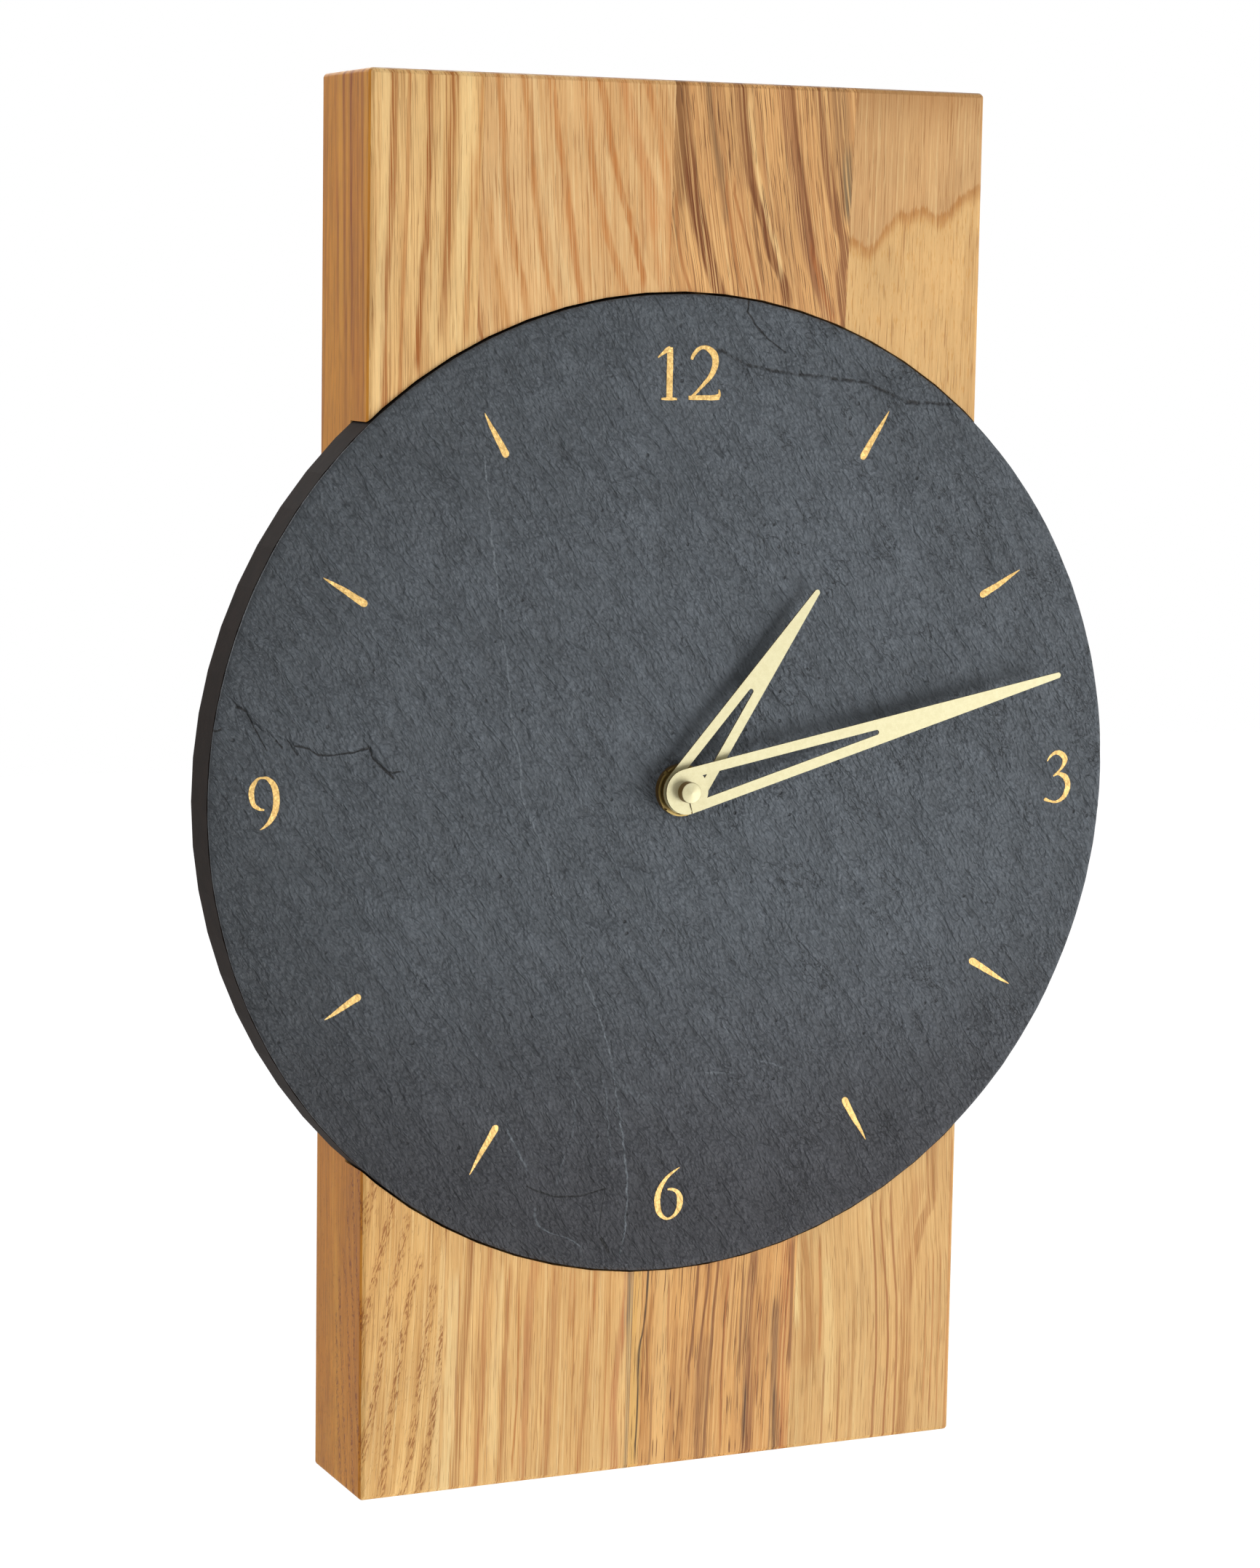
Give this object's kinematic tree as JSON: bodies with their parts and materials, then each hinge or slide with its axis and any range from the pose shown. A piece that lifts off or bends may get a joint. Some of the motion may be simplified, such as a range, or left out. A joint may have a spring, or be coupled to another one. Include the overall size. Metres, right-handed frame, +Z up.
{
  "type": "wall clock",
  "caption": "Wall clock with a round split-slate dial sunk into a tall block of glued oak staves, open tapering metal hands and a battery movement in a pocket behind.",
  "frame": {"origin": "on the back face of the hanger plate, just above its keyhole slot, in the plane of the clock's back", "axes": "+Z up, +Y out of the back towards the wall, +X to the right seen from the front"},
  "size_m": [0.3, 0.0524, 0.426],
  "materials": {
    "oak_light": "oiled",
    "oak_pink": "oiled",
    "oak_dark": "oiled",
    "dyed_board": "dyed and waxed",
    "slate": "riven",
    "hand_metal": "pale gold lacquer",
    "brass": "bright",
    "steel": "satin",
    "black_plastic": "moulded",
    "white_plastic": "moulded",
    "rubber": "plain",
    "copper_wire": "lacquered",
    "circuit": "lacquered",
    "battery": "printed sleeve"
  },
  "bodies": {
    "clock_body": {"stave_1": "oak_light", "stave_2": "oak_pink", "stave_3": "oak_dark", "stave_4": "oak_light", "hanger_plate": "steel", "hanger_screw_1": "steel", "hanger_screw_2": "steel", "dial_backing": "dyed_board", "dial_slate": "slate", "dial_screw_1": "steel", "dial_screw_2": "steel", "dial_screw_3": "steel", "dial_screw_4": "steel", "round_nut": "brass", "rubber_washer": "rubber", "movement_case": "black_plastic", "movement_cover": "black_plastic", "train_plate": "white_plastic", "stator": "steel", "coil_core": "steel", "coil_bobbin": "white_plastic", "coil_winding": "copper_wire", "battery": "battery", "contact_positive": "steel", "contact_negative": "steel", "circuit_board": "circuit", "quartz_crystal": "steel"},
    "minute_body": {"minute_hand": "hand_metal", "cap_nut": "brass", "cannon_pinion": "brass"},
    "hour_body": {"hour_hand": "hand_metal", "hour_wheel": "brass"},
    "motion_body": {"motion_wheel": "brass"},
    "setting_body": {"setting_stem": "brass", "setting_knob": "white_plastic"},
    "rotor_body": {"rotor_pinion": "white_plastic", "rotor_magnet": "steel"},
    "step_body": {"step_wheel": "white_plastic"},
    "seconds_body": {"seconds_wheel": "brass"},
    "third_body": {"third_wheel": "brass"},
    "centre_body": {"centre_wheel": "brass"}
  },
  "joints": [
    {"name": "minute_turn", "type": "hinge", "parent": "clock_body", "child": "minute_body", "pos_m": [0, -0.0489, -0.168], "axis": [0, 1, 0], "continuous": true},
    {"name": "hour_turn", "type": "hinge", "parent": "clock_body", "child": "hour_body", "pos_m": [0, -0.0467, -0.168], "axis": [0, 1, 0], "continuous": true},
    {"name": "motion_turn", "type": "hinge", "parent": "clock_body", "child": "motion_body", "pos_m": [-0.0084, -0.0231, -0.168], "axis": [0, 1, 0], "continuous": true},
    {"name": "setting_turn", "type": "hinge", "parent": "clock_body", "child": "setting_body", "pos_m": [-0.0168, -0.0079, -0.168], "axis": [0, 1, 0], "continuous": true},
    {"name": "rotor_turn", "type": "hinge", "parent": "clock_body", "child": "rotor_body", "pos_m": [0, -0.0177, -0.1536], "axis": [0, 1, 0], "continuous": true},
    {"name": "step_turn", "type": "hinge", "parent": "clock_body", "child": "step_body", "pos_m": [0, -0.0158, -0.1596], "axis": [0, 1, 0], "continuous": true},
    {"name": "seconds_turn", "type": "hinge", "parent": "clock_body", "child": "seconds_body", "pos_m": [0, -0.017, -0.168], "axis": [0, 1, 0], "continuous": true},
    {"name": "third_turn", "type": "hinge", "parent": "clock_body", "child": "third_body", "pos_m": [0.0108, -0.0187, -0.168], "axis": [0, 1, 0], "continuous": true},
    {"name": "centre_turn", "type": "hinge", "parent": "clock_body", "child": "centre_body", "pos_m": [0, -0.0212, -0.168], "axis": [0, 1, 0], "continuous": true}
  ],
  "couplings": [
    {"joint": "hour_turn", "follows": "minute_turn", "ratio": 0.083333},
    {"joint": "motion_turn", "follows": "minute_turn", "ratio": -0.33333},
    {"joint": "setting_turn", "follows": "minute_turn", "ratio": 1},
    {"joint": "step_turn", "follows": "rotor_turn", "ratio": -0.2},
    {"joint": "seconds_turn", "follows": "rotor_turn", "ratio": 0.033333},
    {"joint": "third_turn", "follows": "rotor_turn", "ratio": -0.0044444},
    {"joint": "centre_turn", "follows": "rotor_turn", "ratio": 0.00055556}
  ]
}
